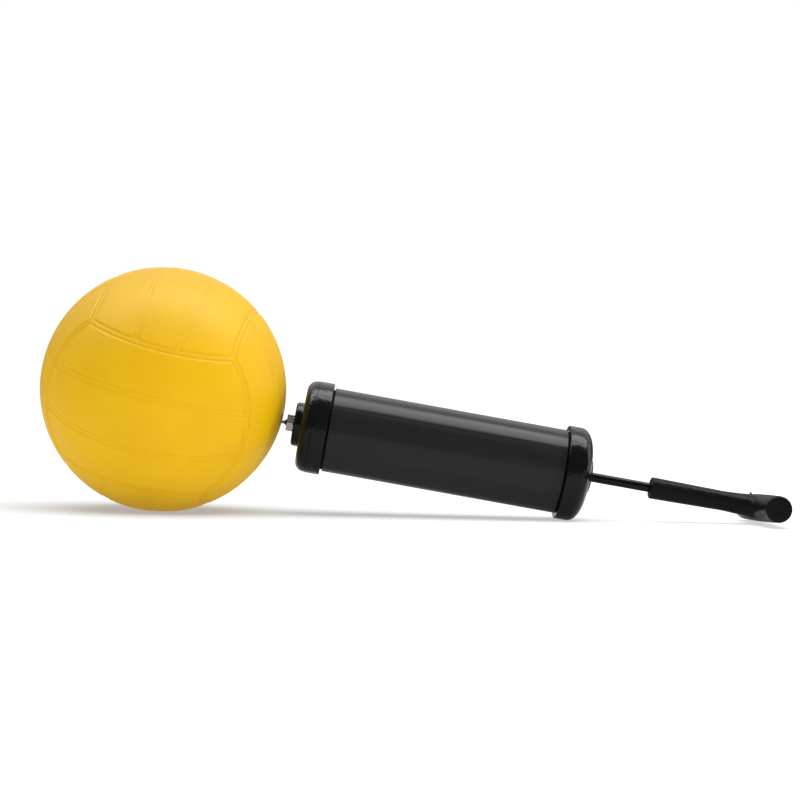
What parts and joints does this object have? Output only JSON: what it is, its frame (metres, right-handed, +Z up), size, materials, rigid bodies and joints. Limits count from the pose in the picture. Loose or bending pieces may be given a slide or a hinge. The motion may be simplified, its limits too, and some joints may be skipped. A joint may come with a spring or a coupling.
{
  "type": "mini volleyball with hand pump",
  "caption": "Yellow moulded mini volleyball on the needle of a black T-handle hand pump, which leans on its rear cap.",
  "frame": {"origin": "on the floor under the middle of the whole object's box", "axes": "+X from the ball towards the pump's handle, +Z up, +Y away from the viewer of the picture"},
  "size_m": [0.3845, 0.127, 0.1264],
  "materials": {
    "yellow_rubber": "satin",
    "butyl_rubber": "matte",
    "soft_rubber": "matte",
    "satin_black_plastic": "satin",
    "gloss_black_plastic": "gloss",
    "grey_plastic": "satin",
    "polished_steel": "polished",
    "nickel_plate": "polished",
    "blackened_steel": "gloss",
    "zinc_plate": "satin",
    "brass": "satin"
  },
  "bodies": {
    "pump_body": {"barrel": "gloss_black_plastic", "front_cap": "satin_black_plastic", "front_gasket": "soft_rubber", "outlet_insert": "brass", "rear_cap": "satin_black_plastic", "rod_guide": "satin_black_plastic"},
    "needle_seat": {"needle_washer": "soft_rubber"},
    "needle": {"needle_base": "nickel_plate", "needle_tube": "polished_steel"},
    "ball": {"ball_cover": "yellow_rubber", "ball_bladder": "butyl_rubber", "valve_housing": "soft_rubber", "valve_plug": "soft_rubber"},
    "piston": {"piston_head": "grey_plastic"},
    "seal": {"piston_ring": "soft_rubber"},
    "handle_rod": {"rod": "blackened_steel", "front_piston_washer": "zinc_plate", "rear_piston_washer": "zinc_plate", "piston_nut": "zinc_plate", "handle": "satin_black_plastic"}
  },
  "joints": [
    {"name": "pump_stroke", "type": "slide", "parent": "pump_body", "child": "piston", "axis": [0.9881, 0, -0.1538], "range_m": [-0.0312, 0.0856]},
    {"name": "handle_turn", "type": "hinge", "parent": "piston", "child": "handle_rod", "pos_m": [-0.01468, -0.0045, 0.03972], "axis": [0.9881, 0, -0.1538], "continuous": true},
    {"name": "seal_float", "type": "slide", "parent": "piston", "child": "seal", "axis": [0.9881, 0, -0.1538], "range_m": [-0.0006, 0]},
    {"name": "needle_advance", "type": "slide", "parent": "pump_body", "child": "needle_seat", "axis": [-0.9881, 0, 0.1538], "range_m": [0, 0.0048]},
    {"name": "needle_turn", "type": "hinge", "parent": "needle_seat", "child": "needle", "pos_m": [-0.06097, -0.0045, 0.04693], "axis": [-0.9881, 0, 0.1538], "range_deg": [0, 2160]},
    {"name": "ball_pull", "type": "slide", "parent": "needle", "child": "ball", "axis": [-0.9881, 0, 0.1538], "range_m": [-0.0012, 0.036]}
  ],
  "couplings": [
    {"joint": "needle_advance", "follows": "needle_turn", "m_per_rad": 0.00012633}
  ]
}
